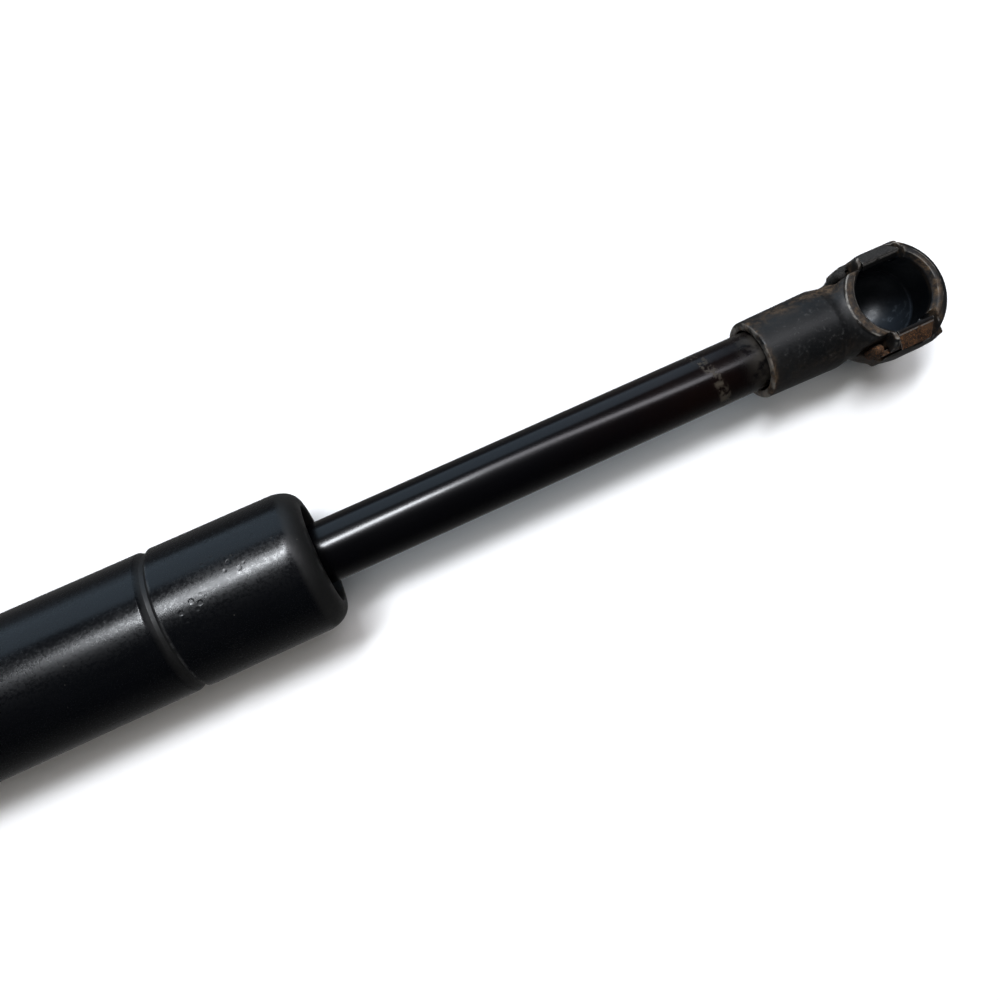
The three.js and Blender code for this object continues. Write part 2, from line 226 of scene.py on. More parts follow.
def tube_paint():
    """Satin black paint: grainy sheen, chips and specks, a duller rolled end and groove, pale
    crests on the rolled ends that are worn and carry a painted highlight, and a painted highlight
    along the groove's front lip.
    """
    p = Paint("tube_paint")
    rolled = p.attribute("rolled")
    tone = p.noise(90, 5)
    colour = p.mix(tone, (0.0022, 0.0025, 0.0034), (0.0042, 0.0048, 0.0062))
    colour = p.mix(p.times(rolled, 0.9), colour, (0.0125, 0.0125, 0.0125))
    haze = p.times(p.span(p.noise(45, 6), 0.48, 0.72), p.span(p.noise(1500, 3), 0.42, 0.7))
    colour = p.mix(p.times(haze, 0.07), colour, DUST)
    specks = p.times(p.span(p.cells(430), 0.05, 0.025), p.span(p.noise(75, 2), 0.5, 0.58))
    colour = p.mix(p.times(specks, 0.7), colour, (0.20, 0.19, 0.17))
    pits = p.times(p.span(p.cells(620), 0.30, 0.16), p.span(p.noise(62, 2), 0.59, 0.62))
    # Pale where the edge attribute is high: wear with a painted highlight on the rolled crests, and
    # a painted highlight along the groove's front lip.
    rubbed = p.times(p.span(p.attribute("edge"), 0.3, 0.9), p.span(p.noise(400, 5), 0.38, 0.62))
    colour = p.mix(p.times(rubbed, 0.30), colour, (0.10, 0.10, 0.10))
    grain = p.noise(2300, 3, 0.6)
    streaks = p.noise(320, 4, vector=p.stretched(0.15, 1, 1))
    roughness = p.span(p.plus(grain, streaks), 0.7, 1.3, 0.19, 0.33)
    roughness = p.plus(roughness, p.times(rolled, 0.22))
    roughness = p.plus(roughness, p.times(haze, 0.2))
    p.bump(p.plus(grain, p.times(pits, -3.0)), 0.02, 0.4)
    return p.finish(colour, roughness)


def rod_smear(p):
    """A slanted scuff of dried dirt part way round the rod, just before the neck."""
    neck = box_mm("rod_socket")[0].x * MM
    slanted = p.plus(p.axis("X"), p.times(p.axis("Y"), 0.25))
    starts = p.span(slanted, neck - 10.1 * MM, neck - 9.2 * MM)
    ends = p.span(slanted, neck - 7.4 * MM, neck - 8.4 * MM)
    near = p.times(starts, ends)
    return p.times(near, p.span(p.noise(650, 5, 0.65), 0.42, 0.62))


def black_rod():
    """Nitrided rod: near-black and glossy, drawn lines along it, dust and a scuff by the neck."""
    p = Paint("black_rod")
    neck = box_mm("rod_socket")[0].x * MM
    lines = p.noise(1400, 3, vector=p.stretched(0.03, 1, 1))
    colour = p.mix(lines, (0.0018, 0.0018, 0.0024), (0.0032, 0.0032, 0.0042))
    near_neck = p.span(p.axis("X"), neck - 45 * MM, neck - 10 * MM)
    warm = p.times(near_neck, p.span(p.noise(60, 4), 0.35, 0.7))
    colour = p.mix(warm, colour, (0.0065, 0.0032, 0.0028))
    dust = p.times(p.span(p.axis("X"), neck - 4.5 * MM, neck), p.span(p.noise(500, 5), 0.35, 0.6))
    colour = p.mix(p.times(dust, 0.24), colour, DUST)
    smear = rod_smear(p)
    colour = p.mix(p.times(smear, 0.75), colour, (0.085, 0.072, 0.055))
    specks = p.times(p.span(p.cells(520), 0.05, 0.025), p.span(p.noise(60, 2), 0.5, 0.6))
    colour = p.mix(p.times(specks, 0.5), colour, (0.10, 0.095, 0.085))
    cloud = p.noise(120, 4, vector=p.stretched(0.3, 1, 1))
    rough = p.plus(p.times(smear, 0.3), p.times(dust, 0.25))
    roughness = p.plus(p.span(cloud, 0.3, 0.75, 0.20, 0.27), rough)
    p.bump(lines, 0.006, 0.3)
    return p.finish(colour, roughness)


def socket_plastic():
    """Glass-filled plastic: speckled dark grey, pale worn edges with a painted highlight along the
    ring's edges, brown dirt in the corners, painted shade deep in the mouth and painted light on
    its seat.
    """
    p = Paint("socket_plastic")
    speckle = p.noise(1500, 3, 0.7)
    broad = p.noise(140, 5)
    colour = p.mix(p.span(broad, 0.3, 0.7), (0.0060, 0.0065, 0.0072), (0.0130, 0.0135, 0.0140))
    colour = p.mix(p.span(speckle, 0.56, 0.74), colour, (0.036, 0.036, 0.036))
    edge = p.attribute("edge")
    grime = p.times(p.span(edge, -0.10, -0.55), p.span(p.noise(420, 6), 0.3, 0.62))
    blotch = p.times(p.attribute("dirt"), p.span(p.noise(300, 6, 0.65), 0.36, 0.58))
    clumps = p.span(p.noise(1300, 5, 0.7), 0.35, 0.65)
    brown = p.mix(clumps, (0.014, 0.0085, 0.0052), (0.112, 0.074, 0.043))
    colour = p.mix(p.larger(p.times(grime, 0.8), blotch), colour, brown)
    # Pale on worn edges and the end face, and along both edges of the ring, where it is partly wear
    # and partly painted highlight.
    worn_and_highlit = p.times(p.span(edge, 0.16, 0.45), p.span(p.noise(520, 5), 0.40, 0.60))
    colour = p.mix(p.times(worn_and_highlit, 0.7), colour, (0.30, 0.285, 0.26))
    inside = p.attribute("inside")
    # In the mouth: painted shade, near black, deep down; painted light, a paler blue-grey seat with
    # scratches, where light falls on it.
    scratched = p.span(p.noise(900, 4, 0.7, vector=p.stretched(0.3, 1, 1)), 0.52, 0.66)
    seat = p.mix(p.times(scratched, 0.6), (0.018, 0.024, 0.032), (0.10, 0.12, 0.14))
    black = p.mix(p.span(inside, 0.2, 0.95), seat, (0.0030, 0.0036, 0.0048))
    in_painted_cavity = p.minus(p.span(inside, 0.0, 0.1), p.attribute("dirt"))
    colour = p.mix(p.larger(in_painted_cavity, 0.0), colour, black)
    roughness = p.span(speckle, 0.3, 0.8, 0.40, 0.56)
    roughness = p.plus(roughness, p.times(blotch, 0.3))
    roughness = p.minus(roughness, p.times(inside, 0.08))
    p.bump(p.plus(speckle, p.times(broad, 2.0)), 0.03, 0.55)
    return p.finish(colour, roughness)


def clip_steel():
    """Spring steel under grainy rust and dust; its folded edges are rubbed to bare metal, and its
    wings' inner flanges get painted shade.
    """
    p = Paint("clip_steel")
    rusty = p.attribute("dirt")
    coarse = p.noise(450, 6, 0.65)
    grain = p.noise(3300, 4, 0.75)
    colour = p.mix(p.span(coarse, 0.34, 0.62), RUST_DARK, RUST_BROWN)
    colour = p.mix(p.span(grain, 0.50, 0.66), colour, RUST_ORANGE)
    dusty = p.mix(p.span(grain, 0.35, 0.65), (0.010, 0.0098, 0.0095), (0.040, 0.037, 0.034))
    colour = p.mix(rusty, dusty, colour)
    # Painted shade: the wings' inner flanges are darkened to near black.
    colour = p.mix(p.times(p.attribute("inside"), 0.97), colour, (0.0025, 0.0025, 0.003))
    rubbed = p.times(p.span(p.attribute("edge"), 0.25, 0.6), p.span(p.noise(620, 4), 0.34, 0.56))
    colour = p.mix(p.times(rubbed, 0.8), colour, BARE)
    roughness = p.minus(0.84, p.times(rubbed, 0.45))
    p.bump(p.plus(grain, coarse), 0.06, 0.9)
    return p.finish(colour, roughness, p.times(rubbed, 0.7))


def rusty_steel():
    """Red-brown rust all over, with brighter grains."""
    p = Paint("rusty_steel")
    coarse = p.noise(300, 6, 0.65)
    grain = p.noise(1600, 4, 0.7)
    colour = p.mix(p.span(coarse, 0.34, 0.60), (0.010, 0.003, 0.002), (0.055, 0.017, 0.007))
    colour = p.mix(p.times(p.span(grain, 0.5, 0.66), 0.6), colour, (0.16, 0.050, 0.015))
    p.bump(p.plus(grain, coarse), 0.06, 0.8)
    return p.finish(colour, p.span(grain, 0.3, 0.7, 0.7, 0.9))


def plated_steel():
    """Zinc plating, cloudy and with a few rust stains."""
    p = Paint("plated_steel")
    tone = p.noise(240, 5)
    colour = p.mix(tone, (0.24, 0.24, 0.23), (0.45, 0.46, 0.46))
    stain = p.span(p.noise(520, 6), 0.56, 0.70)
    colour = p.mix(stain, colour, RUST_BROWN)
    p.bump(p.noise(1800, 3), 0.01, 0.4)
    return p.finish(colour, p.span(tone, 0.3, 0.7, 0.32, 0.5), p.minus(0.9, stain))


def machined(name, dark, light, metallic):
    """Turned metal or lining: fine rings round the strut's axis."""
    p = Paint(name)
    rings = p.noise(2200, 2, vector=p.stretched(1, 0.05, 0.05))
    p.bump(rings, 0.01, 0.5)
    return p.finish(p.mix(rings, dark, light), p.span(rings, 0.3, 0.7, 0.35, 0.5), metallic)


def rubber():
    p = Paint("seal_rubber")
    grain = p.noise(1700, 4)
    p.bump(grain, 0.02, 0.6)
    colour = p.mix(grain, (0.005, 0.005, 0.0055), (0.014, 0.014, 0.014))
    return p.finish(colour, p.span(grain, 0.3, 0.7, 0.5, 0.75))


def floor_paper():
    p = Paint("floor_paper")
    grain = p.noise(700, 4)
    p.bump(grain, 0.05, 0.1)
    return p.finish(p.mix(grain, (0.86, 0.86, 0.86), (0.88, 0.88, 0.88)), 0.9)


FINISHES = {
    "tube_paint": tube_paint(),
    "black_rod": black_rod(),
    "socket_plastic": socket_plastic(),
    "clip_steel": clip_steel(),
    "rusty_steel": rusty_steel(),
    "plated_steel": plated_steel(),
    "guide_alloy": machined("guide_alloy", (0.36, 0.36, 0.37), (0.56, 0.57, 0.58), 0.9),
    "bush_lining": machined("bush_lining", (0.22, 0.16, 0.07), (0.42, 0.32, 0.15), 0.6),
    "seal_rubber": rubber(),
    "ring_polymer": machined("ring_polymer", (0.03, 0.027, 0.025), (0.08, 0.072, 0.065), 0.0),
}

BODIES = frame["record"]["behaviour"]["bodies"]
NODE_BODY = {node: body for body, nodes in BODIES.items() for node in nodes}
NODE_SLOT = {part["node"]: part["material_slot"] for part in frame["record"]["subparts"]}


def finish_cad_nodes():
    """Every CAD node gets its slot's finish, also those that a finer piece stands for."""
    for name, node in frame["nodes"].items():
        node.data.materials.clear()
        node.data.materials.append(FINISHES[NODE_SLOT[name]])


# ------------------------------------------------------------------ mesh building


def make_piece(node, points_mm, faces, sharp_degrees=None):
    """A detailed piece that stands for the CAD node of that name and moves with its body."""
    mesh = bpy.data.meshes.new(f"{node}_detail")
    mesh.from_pydata((np.asarray(points_mm) * MM).tolist(), [], faces)
    mesh.validate()
    mesh.shade_smooth()
    if sharp_degrees:
        mesh.set_sharp_from_angle(angle=math.radians(sharp_degrees))
    mesh.materials.append(FINISHES[NODE_SLOT[node]])
    piece = bpy.data.objects.new(f"{node}_detail", mesh)
    bpy.context.scene.collection.objects.link(piece)
    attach(piece, NODE_BODY[node])
    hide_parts(node)
    return piece


def add_attribute(piece, name, values):
    layer = piece.data.attributes.new(name, "FLOAT", "POINT")
    layer.data.foreach_set("value", np.asarray(values, np.float32))


def corner_arc(here, before, after, radius, steps):
    """Points of the arc that rounds the corner at here, between its two neighbours."""
    before = before - here
    after = after - here
    reach_before = np.linalg.norm(before)
    reach_after = np.linalg.norm(after)
    before /= reach_before
    after /= reach_after
    half = math.acos(np.clip(before @ after, -1, 1)) / 2
    cut_back = min(radius / math.tan(half), 0.49 * reach_before, 0.49 * reach_after)
    middle = (before + after) / np.linalg.norm(before + after)
    centre = here + middle * (cut_back / math.cos(half))
    first = here + before * cut_back - centre
    last = here + after * cut_back - centre
    sweep = math.pi - 2 * half
    arc = []
    for step in range(steps + 1):
        t = step / steps
        point = math.sin((1 - t) * sweep) * first + math.sin(t * sweep) * last
        arc.append(centre + point / math.sin(sweep))
    return arc


def rounded(corners, closed, steps=6):
    """Outline through (a, b, radius) corners, each one rounded by its radius."""
    outline = []
    places = [np.array(corner[:2], float) for corner in corners]
    last = len(corners) - 1
    for i, here in enumerate(places):
        radius = corners[i][2]
        if radius == 0 or (not closed and i in (0, last)):
            outline.append(here)
        else:
            outline += corner_arc(here, places[i - 1], places[(i + 1) % len(places)], radius, steps)
    return outline


def turned(node, outline, segments, closed=True):
    """A piece turned about the strut's axis from an outline of (x, radius) points.

    An open outline gets a flat face at each end.
    """
    outline = np.array(outline)
    angles = np.arange(segments) * (2 * math.pi / segments)
    x = np.repeat(outline[:, 0], segments)
    radius = np.repeat(outline[:, 1], segments)
    turn = np.tile(angles, len(outline))
    points = np.stack([x, radius * np.cos(turn), radius * np.sin(turn)], axis=1)
    faces = []
    rows = len(outline)
    for row in range(rows if closed else rows - 1):
        start = row * segments
        next_start = (row + 1) % rows * segments
        for k in range(segments):
            n = (k + 1) % segments
            faces.append((start + k, start + n, next_start + n, next_start + k))
    if not closed:
        faces.append(tuple(reversed(range(segments))))
        faces.append(tuple(range((rows - 1) * segments, rows * segments)))
    piece = make_piece(node, points, faces, sharp_degrees=35)
    turn_outward(piece)
    return piece


def turn_outward(piece):
    """Flips every face if the mesh is inside out."""
    mesh = piece.data
    mesh.calc_loop_triangles()
    corners = np.array([[mesh.vertices[v].co for v in t.vertices] for t in mesh.loop_triangles])
    volume = np.einsum("ij,ij->i", corners[:, 0], np.cross(corners[:, 1], corners[:, 2])).sum()
    if volume < 0:
        mesh.flip_normals()


def surface_points(values, low, cell):
    """One point in each cell of the grid that the surface passes, amid its edge crossings."""
    inside = values < 0
    shape = tuple(n - 1 for n in values.shape)
    total = np.zeros(shape + (3,))
    count = np.zeros(shape)
    crossings = []
    for axis in range(3):
        ahead = [slice(None)] * 3
        behind = [slice(None)] * 3
        ahead[axis] = slice(1, None)
        behind[axis] = slice(None, -1)
        first = values[tuple(behind)]
        second = values[tuple(ahead)]
        crossed = inside[tuple(behind)] != inside[tuple(ahead)]
        share = np.where(crossed, first / np.where(crossed, first - second, 1.0), 0.0)
        crossings.append(crossed)
        others = [a for a in range(3) if a != axis]
        for p in (0, 1):
            for q in (0, 1):
                window = [slice(None)] * 3
                window[others[0]] = slice(p, p + shape[others[0]])
                window[others[1]] = slice(q, q + shape[others[1]])
                here = crossed[tuple(window)]
                total[..., axis] += np.where(here, share[tuple(window)], 0)
                total[..., others[0]] += np.where(here, p, 0)
                total[..., others[1]] += np.where(here, q, 0)
                count += here
    used = count > 0
    number = np.full(shape, -1)
    number[used] = np.arange(used.sum())
    offset = total[used] / count[used][:, None]
    points = np.array(low) + (np.argwhere(used) + offset) * cell
    return points, number, crossings


def surface_faces(inside, number, crossings):
    """A four-cornered face round each edge of the grid that the surface crosses."""
    faces = []
    for axis in range(3):
        b, c = (axis + 1) % 3, (axis + 2) % 3
        crossed = crossings[axis].copy()
        for other in (b, c):
            edge = [slice(None)] * 3
            for end in (0, -1):
                edge[other] = end
                crossed[tuple(edge)] = False
        at = np.argwhere(crossed)
        corners = []
        for step_b, step_c in ((-1, -1), (0, -1), (0, 0), (-1, 0)):
            cell_at = at.copy()
            cell_at[:, b] += step_b
            cell_at[:, c] += step_c
            corners.append(number[tuple(cell_at.T)])
        quads = np.stack(corners, axis=1)
        starts_inside = inside[tuple(at.T)]
        quads[~starts_inside] = quads[~starts_inside][:, ::-1]
        faces.append(quads)
    return np.concatenate(faces)


def surface_net(field, low, high, cell):
    """Points and faces of the surface where field is zero; field is negative inside."""
    axes = [np.arange(low[a], high[a] + cell, cell) for a in range(3)]
    values = field(*np.meshgrid(*axes, indexing="ij"))
    points, number, crossings = surface_points(values, low, cell)
    return points, surface_faces(values < 0, number, crossings)


def neighbour_mean(points, pairs, degree):
    """Each point's mean neighbour, over the mesh's edges."""
    mean = np.zeros_like(points)
    for axis in range(3):
        mean[:, axis] += np.bincount(pairs[:, 0], points[pairs[:, 1], axis], len(points))
        mean[:, axis] += np.bincount(pairs[:, 1], points[pairs[:, 0], axis], len(points))
    return mean / degree[:, None]


def face_pairs(faces):
    """The two points of each edge of the mesh, every edge once."""
    sides = np.concatenate([faces[:, [i, (i + 1) % 4]] for i in range(4)])
    return np.unique(np.sort(sides, axis=1), axis=0)


def settle(points, faces, rounds, share=0.5):
    """Moves each point towards its neighbours, which evens out the steps left by the grid."""
    pairs = face_pairs(faces)
    degree = np.bincount(pairs.ravel(), minlength=len(points)).astype(float)
    for _ in range(rounds):
        points = points + share * (neighbour_mean(points, pairs, degree) - points)
    return points


def point_normals(points, faces):
    a, b, c, d = (points[faces[:, i]] for i in range(4))
    across = np.cross(c - a, d - b)
    normals = np.zeros_like(points)
    for corner in range(4):
        for axis in range(3):
            normals[:, axis] += np.bincount(faces[:, corner], across[:, axis], len(points))
    return normals / np.maximum(np.linalg.norm(normals, axis=1, keepdims=True), 1e-12)


def edge_measure(points, faces, cell):
    """About 1 on a sharp convex edge, about -1 in a sharp corner, and 0 on flat surfaces."""
    smooth = settle(points, faces, rounds=5)
    stand_out = np.einsum("ij,ij->i", points - smooth, point_normals(points, faces))
    return np.clip(stand_out / (0.7 * cell), -1, 1)


# ------------------------------------------------------------------ implicit shapes


def join(a, b, fillet):
    """Union of two fields, with a fillet of about that size between them."""
    h = np.clip(0.5 + 0.5 * (b - a) / fillet, 0, 1)
    return b * (1 - h) + a * h - fillet * h * (1 - h)


def common(a, b, fillet):
    """Intersection of two fields, its edge rounded by about that size."""
    return -join(-a, -b, fillet)


def cut(body, hole, fillet):
    """The body without the hole, its edge rounded by about that size."""
    return common(body, -hole, fillet)


def every(*fields):
    """Intersection with sharp edges."""
    return np.maximum.reduce(np.broadcast_arrays(*fields))


def soft_block(x, y, z, middle, half, radius):
    """A block with all its edges rounded."""
    reach = [abs(v - m) - h + radius for v, m, h in zip((x, y, z), middle, half)]
    outside = np.sqrt(sum(np.maximum(r, 0) ** 2 for r in reach))
    return outside + np.minimum(every(*reach), 0) - radius


# ------------------------------------------------------------------ ball sockets

# Sizes of the socket in millimetres, from its ball centre, with its neck towards -X.
# The cup's flat sides lean inwards above SIDE_TOP, and draw in towards the neck from TAPER_FRONT.
CUP_R = 9.4
CUP_FLOOR = -8.8
SHOULDER_START = 4.6
SIDE = 9.25
SIDE_TOP = 1.4
SIDE_LEAN = 0.18
SIDE_TAPER = 0.2
TAPER_FRONT = 0.3
TAPER_LENGTH = 2.6

# The raised ring round the mouth is wider towards the neck.
RIM_TOP = MOUNTS["rod_socket_rim"].z
RIM_R = 7.95
RIM_STEP = 0.5
RIM_WIDER = 0.55
MOUTH_R = 6.45
CHAMFER = 0.75
CHAMFER_DEPTH = 0.85
SEAT_R = 6.25

NECK_MOUTH = box_mm("rod_socket")[0].x - MOUNTS["rod_ball_seat"].x
NECK_R = 6.7
NECK_ROOT_R = 6.95
NECK_SHAPE_X = (NECK_MOUTH, -11, -8.8, -6)
NECK_SHAPE_R = (NECK_R, NECK_ROOT_R, 6.5, 6.3)
RECESS_R = 5.3
RECESS_DEPTH = 3
THREAD_R = 4.3
THREAD_END = -9.8

# Side windows, and the bosses that hold the clip beside them. A flare is per mm of height.
WINDOW_BACK = -2.15
WINDOW_FRONT = 3.9
WINDOW_FLARE_BACK = 0.33
WINDOW_FLARE_FRONT = 0.2
WINDOW_FLOOR = 3.7
WINDOW_INNER_SIDE = 5
BOSS_LOW = (-3.9, -9.3, -3.5)
BOSS_HIGH = (6.3, 9.3, 4.3)
SLOT_HEIGHTS = (0.7, 3.7)
SLOT_GAP = 0.3

# The clip: a band that bends round the cup, a folded wing in each window, and curled tips.
# FOLD is half of its cross-section, from the wing's inner edge over its top to the band.
BAND_MIDDLE = 7.8
BAND_HALF = 0.375
BAND_HEIGHT = 2.2
BAND_HALF_HEIGHT = 1.2
BEND_X = 1.2
FOLD = ((6.0, 5.5), (6.3, 6.62), (8.35, 4.5), (7.8, 3.8), (7.8, 3.0))
FOLD_SIDE = 6.4
SHEET_HALF = 0.3
WING_GAP_BACK = 0.15
WING_GAP_FRONT = 0.75
CURL_X = -5.6
CURL_Y = 6.95
CURL_R = 0.9
CURL_TOP = 4.9
CURL_BOTTOM = 1.0

# How far the cup and its clip stand to one side of the mouth.
SAG = 0.45


def sagged(x, y, z):
    """y as the cup and its clip have it: moved to one side, except at the rim and the neck."""
    below_rim = np.clip((RIM_TOP - z) / 2, 0, 1)
    past_neck = np.clip((x + 11) / 5, 0, 1)
    return y + SAG * below_rim * past_neck


def shoulder_field(r, z):
    """Everything under the cup's rounded shoulder, which ends a step below the ring's top."""
    top = RIM_TOP - RIM_STEP
    inner = RIM_R + 0.15
    across = np.maximum(r - inner, 0) / (CUP_R - inner)
    up = np.maximum(z - SHOULDER_START, 0) / (top - SHOULDER_START)
    return (np.hypot(across, up) - 1) * (CUP_R - inner)


def neck_field(x, y, z):
    """The neck from its mouth into the cup, a little thinner at its root."""
    neck = np.hypot(y, z) - np.interp(x, NECK_SHAPE_X, NECK_SHAPE_R)
    neck = common(neck, NECK_MOUTH + 0.2 - x, 0.3)
    return common(neck, x + 3, 0.5)


def rim_radius(x):
    """Outer radius of the ring round the mouth."""
    return RIM_R + RIM_WIDER * np.clip(-x / RIM_R, 0, 1)


def ring_field(x, y, z):
    """The raised ring round the mouth, a step above the cup's shoulder."""
    ring = common(np.hypot(x, y) - rim_radius(x), z - RIM_TOP, 0.12)
    return common(ring, 4 - z, 0.2)


def cup_field(x, y, z):
    """Round-bottomed cup, blended into a long neck, with a raised ring round its mouth."""
    y_body = sagged(x, y, z)
    r = np.hypot(x, y_body)
    round_wall = np.where(z < 0, np.sqrt(r**2 + z**2) - CUP_R, r - CUP_R)
    cup = common(round_wall, shoulder_field(r, z), 0.3)
    cup = common(cup, CUP_FLOOR - z, 0.8)
    low, high = np.array(BOSS_LOW), np.array(BOSS_HIGH)
    boss = soft_block(x, y_body, z, (low + high) / 2, (high - low) / 2, 1.0)
    cup = join(cup, boss, 0.7)
    lean = SIDE_LEAN * np.maximum(z - SIDE_TOP, 0)
    taper = SIDE_TAPER * np.clip(TAPER_FRONT - x, 0, TAPER_LENGTH)
    cup = common(cup, abs(y_body) - SIDE + (lean + taper), 0.4)
    cup = join(cup, neck_field(x, y, z), 1.5)
    return join(cup, ring_field(x, y, z), 0.15)


def window_field(x, y_body, z):
    """One side window, wider towards the top."""
    rise = z - WINDOW_FLOOR
    back = WINDOW_BACK - WINDOW_FLARE_BACK * rise
    front = WINDOW_FRONT + WINDOW_FLARE_FRONT * rise
    return every(back - x, x - front, WINDOW_INNER_SIDE - abs(y_body), -rise)


def slot_field(x, y_body, z):
    """The clip's slot: through both bosses, and open outwards round the cup's front."""
    side = abs(y_body)
    inside = BAND_MIDDLE - BAND_HALF - SLOT_GAP
    outside = BAND_MIDDLE + BAND_HALF + SLOT_GAP
    front = BOSS_HIGH[0] - 0.8
    inner_wall = inside - np.where(x > 0, np.hypot(x, y_body), side)
    outer_wall = np.minimum(side - outside, front - x)
    bottom, top = SLOT_HEIGHTS
    return every(bottom - z, z - top, inner_wall, outer_wall, BOSS_LOW[0] - 1 - x)


def pocket_field(x, y_body, z):
    """The open pocket beside the neck's root that a curled tip stands in."""
    back = CURL_X - CURL_R - 0.8
    inner = CURL_Y - CURL_R - SLOT_GAP
    return every(back - x, x - BOSS_LOW[0], inner - abs(y_body), SLOT_HEIGHTS[0] - z)


def bore_field(x, y, z):
    """The threaded hole in the neck, with a wider recess at the neck's mouth."""
    from_axis = np.hypot(y, z)
    recess = every(from_axis - RECESS_R, x - (NECK_MOUTH + RECESS_DEPTH))
    thread = every(from_axis - THREAD_R, x - THREAD_END)
    return np.minimum(recess, thread)


def socket_field(x, y, z):
    """The cup with its seat, side windows, clip slots and threaded hole cut out."""
    y_body = sagged(x, y, z)
    r = np.hypot(x, y)
    chamfer = CHAMFER * np.maximum(z - (RIM_TOP - CHAMFER_DEPTH), 0)
    seat = np.where(z < 0, np.sqrt(r**2 + z**2) - SEAT_R, r - MOUTH_R - chamfer)
    body = cut(cup_field(x, y, z), seat, 0.15)
    body = cut(body, window_field(x, y_body, z), 0.15)
    body = cut(body, slot_field(x, y_body, z), 0.15)
    body = cut(body, pocket_field(x, y_body, z), 0.4)
    return cut(body, bore_field(x, y, z), 0.3)


def segment_distance(a, b, start, end):
    """Distance in a plane from (a, b) to the line from start to end."""
    run = np.array(end, float) - np.array(start, float)
    t = ((a - start[0]) * run[0] + (b - start[1]) * run[1]) / (run @ run)
    t = np.clip(t, 0, 1)
    return np.hypot(a - start[0] - t * run[0], b - start[1] - t * run[1])


def clip_field(x, y, z):
    """Spring steel strip bent round the cup, with a folded wing in each window and curled tips."""
    y_body = sagged(x, y, z)
    side = abs(y_body)
    plan = np.where(x < BEND_X, side, np.hypot(x - BEND_X, y_body)) - BAND_MIDDLE
    band_end = CURL_X + 0.4
    band = every(abs(plan) - BAND_HALF, abs(z - BAND_HEIGHT) - BAND_HALF_HEIGHT, band_end - x)
    bends = zip(FOLD, FOLD[1:])
    sheet = np.minimum.reduce([segment_distance(side, z, *ends) for ends in bends])
    rise = z - WINDOW_FLOOR
    back = WINDOW_BACK + WING_GAP_BACK - WINDOW_FLARE_BACK * rise
    past_front = x - WINDOW_FRONT + WING_GAP_FRONT - WINDOW_FLARE_FRONT * rise
    wing = every(sheet - SHEET_HALF, back - x, past_front)
    roll = np.hypot(x - CURL_X, side - CURL_Y)
    dome = np.maximum(z - (CURL_TOP - CURL_R), 0)
    curl = every(np.hypot(roll, dome) - CURL_R, CURL_BOTTOM - z)
    clip = join(band, wing, 0.4)
    return join(clip, curl, 0.3)


def near(value, middle, width):
    """1 at the middle, falling off smoothly on both sides."""
    return np.exp(-(((value - middle) / width) ** 2))


def socket_dirt(points):
    """How brown the socket is: round its mouth, at the neck's mouth, and beside its windows."""
    x, y, z = points.T
    r = np.hypot(x, y)
    inside_mouth = near(r, 6.9, 0.6) * (z > RIM_TOP - 1.7) * np.clip(0.45 + x / 6, 0.1, 1)
    rim_top = near(r, 7.8, 0.6) * (z > RIM_TOP - 0.4) * np.clip(0.55 - (x + y) / 16, 0, 0.9)
    shoulder = near(z, 4, 1.6) * (r > 7) * np.clip((y - 2) / 4, 0.15, 0.75)
    neck = 1.2 * near(x, NECK_MOUTH, 0.7)
    pockets = 0.85 * near(x, -4.6, 3.2) * near(abs(y), 8, 2.2) * (z < 5.5)
    root = 0.7 * near(x, -8, 2.5) * np.clip((y - 3) / 3, 0, 1)
    posts = 0.9 * near(x, 5, 1.2) * near(abs(y), 8, 1.5)
    return np.clip(inside_mouth + rim_top + shoulder + neck + pockets + root + posts, 0, 1)


def socket_painted_shade(points):
    """1 deep in the mouth, where shade is painted black, and less on the seat towards -Y, where
    painted light falls.
    """
    x, y, z = points.T
    deep = np.clip((RIM_TOP - 0.7 - z) / 0.4, 0, 1)
    in_mouth = np.sqrt(x**2 + y**2 + np.minimum(z, 0) ** 2) < MOUTH_R + 0.3
    # Painted light: the part of the seat that the light falls on, towards -Y and low down.
    rubbed = np.clip(0.45 - (y + 0.3 * x) / 7, 0, 0.75) * (z < 0.5)
    return deep * in_mouth * (1 - rubbed)


def clip_dirt(points):
    """How rusty the clip is: less over the wing on its +Y side, which is rubbed and dusty."""
    return np.clip(0.5 - points[:, 1] / 3, 0, 1)


def clip_painted_shade(points):
    """1 on the wings' inner flanges, where shade is painted dark."""
    inner = np.clip((FOLD_SIDE - 0.08 - abs(points[:, 1] + SAG)) / 0.12, 0, 1)
    return inner * (points[:, 2] > WINDOW_FLOOR)


def clip_wear(points, edge):
    """Wear on the clip's edges and all along the top of each wing's fold."""
    on_top = points[:, 2] > RIM_TOP - 0.75
    fold = near(abs(points[:, 1] + SAG), FOLD_SIDE, 0.13) * on_top
    return np.maximum(edge, 0.8 * fold)


def socket_wear_and_highlight(points, edge):
    """Wear on the socket's edges and its end face, and a pale line along both edges of the ring
    round its mouth, which is partly wear and partly painted highlight.
    """
    x, y, z = points.T
    r = np.hypot(x, y)
    # The ring's two edges: a pale line that is partly wear and partly painted highlight.
    outer = near(r, rim_radius(x), 0.14)
    inner = near(r, MOUTH_R + CHAMFER * CHAMFER_DEPTH, 0.10)
    ring = np.maximum(0.75 * outer, 0.4 * inner) * (z > RIM_TOP - 0.2)
    end_face = 0.32 * (x < NECK_MOUTH + 0.35)
    return np.maximum.reduce([edge, end_face, ring])


def net_mesh(field, low, high, cell):
    """Points, faces and edge measure of a field's surface."""
    points, faces = surface_net(field, low, high, cell)
    points = settle(points, faces, 2, 0.4)
    return points, faces, edge_measure(points, faces, cell)


